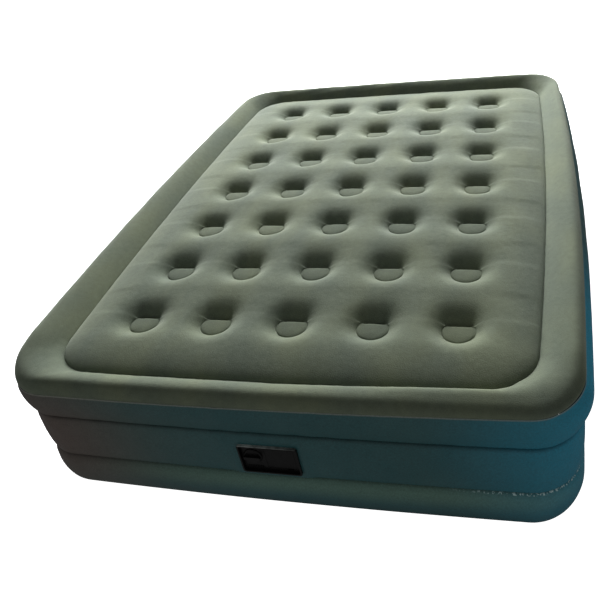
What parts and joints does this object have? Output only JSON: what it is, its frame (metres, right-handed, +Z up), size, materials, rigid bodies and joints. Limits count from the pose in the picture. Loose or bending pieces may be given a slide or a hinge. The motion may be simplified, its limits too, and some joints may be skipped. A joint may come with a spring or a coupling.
{
  "type": "air mattress",
  "caption": "Raised queen-size air mattress: dimpled flocked top with a raised rim, banded vinyl sides, inner tie straps, and an electric pump built into one end.",
  "frame": {"origin": "middle of the footprint, at floor level", "axes": "+Z up; +Y runs from the pump end to the far end; +X is to the right seen from the pump end"},
  "size_m": [1.508, 2.02, 0.432],
  "materials": {
    "flocked_top": "short velvet flock, grey olive, paler at grazing light",
    "side_vinyl": "dark teal PVC with a fine grain and a soft sheen",
    "base_vinyl": "dark grey-green PVC, embossed for grip",
    "tie_vinyl": "plain translucent grey PVC",
    "black_plastic": "fine-textured black ABS",
    "grey_plastic": "moulded grey ABS",
    "black_rubber": "soft black rubber",
    "plated_steel": "zinc-plated steel"
  },
  "bodies": {
    "base": {"upper_side_band": "side_vinyl", "middle_side_band": "side_vinyl", "lower_side_band": "side_vinyl", "bottom_sheet": "base_vinyl", "perimeter_strap": "tie_vinyl", "pump_collar": "black_plastic", "pump_gasket": "black_rubber", "pump_housing": "black_plastic", "pump_faceplate": "black_plastic", "intake_grille": "black_plastic", "cord_bin": "black_plastic", "cord_gland": "black_rubber", "door_hinge_pin": "plated_steel", "micro_switch": "black_plastic", "motor_can": "plated_steel", "impeller_casing": "grey_plastic", "coil_tie_r1_c1": "tie_vinyl", "coil_tie_r1_c2": "tie_vinyl", "coil_tie_r1_c3": "tie_vinyl", "coil_tie_r1_c4": "tie_vinyl", "coil_tie_r1_c5": "tie_vinyl", "coil_tie_r2_c1": "tie_vinyl", "coil_tie_r2_c2": "tie_vinyl", "coil_tie_r2_c3": "tie_vinyl", "coil_tie_r2_c4": "tie_vinyl", "coil_tie_r2_c5": "tie_vinyl", "coil_tie_r3_c1": "tie_vinyl", "coil_tie_r3_c2": "tie_vinyl", "coil_tie_r3_c3": "tie_vinyl", "coil_tie_r3_c4": "tie_vinyl", "coil_tie_r3_c5": "tie_vinyl", "coil_tie_r4_c1": "tie_vinyl", "coil_tie_r4_c2": "tie_vinyl", "coil_tie_r4_c3": "tie_vinyl", "coil_tie_r4_c4": "tie_vinyl", "coil_tie_r4_c5": "tie_vinyl", "coil_tie_r5_c1": "tie_vinyl", "coil_tie_r5_c2": "tie_vinyl", "coil_tie_r5_c3": "tie_vinyl", "coil_tie_r5_c4": "tie_vinyl", "coil_tie_r5_c5": "tie_vinyl", "coil_tie_r6_c1": "tie_vinyl", "coil_tie_r6_c2": "tie_vinyl", "coil_tie_r6_c3": "tie_vinyl", "coil_tie_r6_c4": "tie_vinyl", "coil_tie_r6_c5": "tie_vinyl", "coil_tie_r7_c1": "tie_vinyl", "coil_tie_r7_c2": "tie_vinyl", "coil_tie_r7_c3": "tie_vinyl", "coil_tie_r7_c4": "tie_vinyl", "coil_tie_r7_c5": "tie_vinyl"},
    "sleeping_surface": {"top_sheet": "flocked_top"},
    "dial": {"dial_knob": "black_plastic", "dial_spindle": "grey_plastic", "valve_gate": "grey_plastic"},
    "door": {"storage_door": "black_plastic"},
    "switch_plunger": {"switch_button": "grey_plastic"},
    "rotor": {"motor_shaft": "plated_steel", "impeller": "grey_plastic"},
    "flap": {"outlet_flap": "black_rubber"}
  },
  "joints": [
    {"name": "surface_sink", "type": "slide", "parent": "base", "child": "sleeping_surface", "axis": [0, 0, 1], "range_m": [-0.06, 0], "stiffness_N_per_m": 12000, "springref_m": 0.004, "deforming": ["upper_side_band", "perimeter_strap", "coil_tie_r1_c1", "coil_tie_r1_c2", "coil_tie_r1_c3", "coil_tie_r1_c4", "coil_tie_r1_c5", "coil_tie_r2_c1", "coil_tie_r2_c2", "coil_tie_r2_c3", "coil_tie_r2_c4", "coil_tie_r2_c5", "coil_tie_r3_c1", "coil_tie_r3_c2", "coil_tie_r3_c3", "coil_tie_r3_c4", "coil_tie_r3_c5", "coil_tie_r4_c1", "coil_tie_r4_c2", "coil_tie_r4_c3", "coil_tie_r4_c4", "coil_tie_r4_c5", "coil_tie_r5_c1", "coil_tie_r5_c2", "coil_tie_r5_c3", "coil_tie_r5_c4", "coil_tie_r5_c5", "coil_tie_r6_c1", "coil_tie_r6_c2", "coil_tie_r6_c3", "coil_tie_r6_c4", "coil_tie_r6_c5", "coil_tie_r7_c1", "coil_tie_r7_c2", "coil_tie_r7_c3", "coil_tie_r7_c4", "coil_tie_r7_c5"]},
    {"name": "dial_turn", "type": "hinge", "parent": "base", "child": "dial", "pos_m": [-0.053, -0.998, 0.214], "axis": [0, -1, 0], "range_deg": [-90, 90]},
    {"name": "door_hinge", "type": "hinge", "parent": "base", "child": "door", "pos_m": [0.016, -0.995, 0.2375], "axis": [-1, 0, 0], "range_deg": [0, 85]},
    {"name": "switch_press", "type": "slide", "parent": "base", "child": "switch_plunger", "axis": [1, 0, 0], "range_m": [0, 0.001], "stiffness_N_per_m": 200, "springref_m": -0.001},
    {"name": "rotor_spin", "type": "hinge", "parent": "base", "child": "rotor", "pos_m": [0.018, -0.925, 0.208], "axis": [0, 1, 0], "continuous": true},
    {"name": "flap_swing", "type": "hinge", "parent": "base", "child": "flap", "pos_m": [-0.053, -0.8727, 0.2105], "axis": [1, 0, 0], "range_deg": [0, 55], "stiffness_Nm_per_rad": 0.0005, "springref_deg": -5.73}
  ]
}
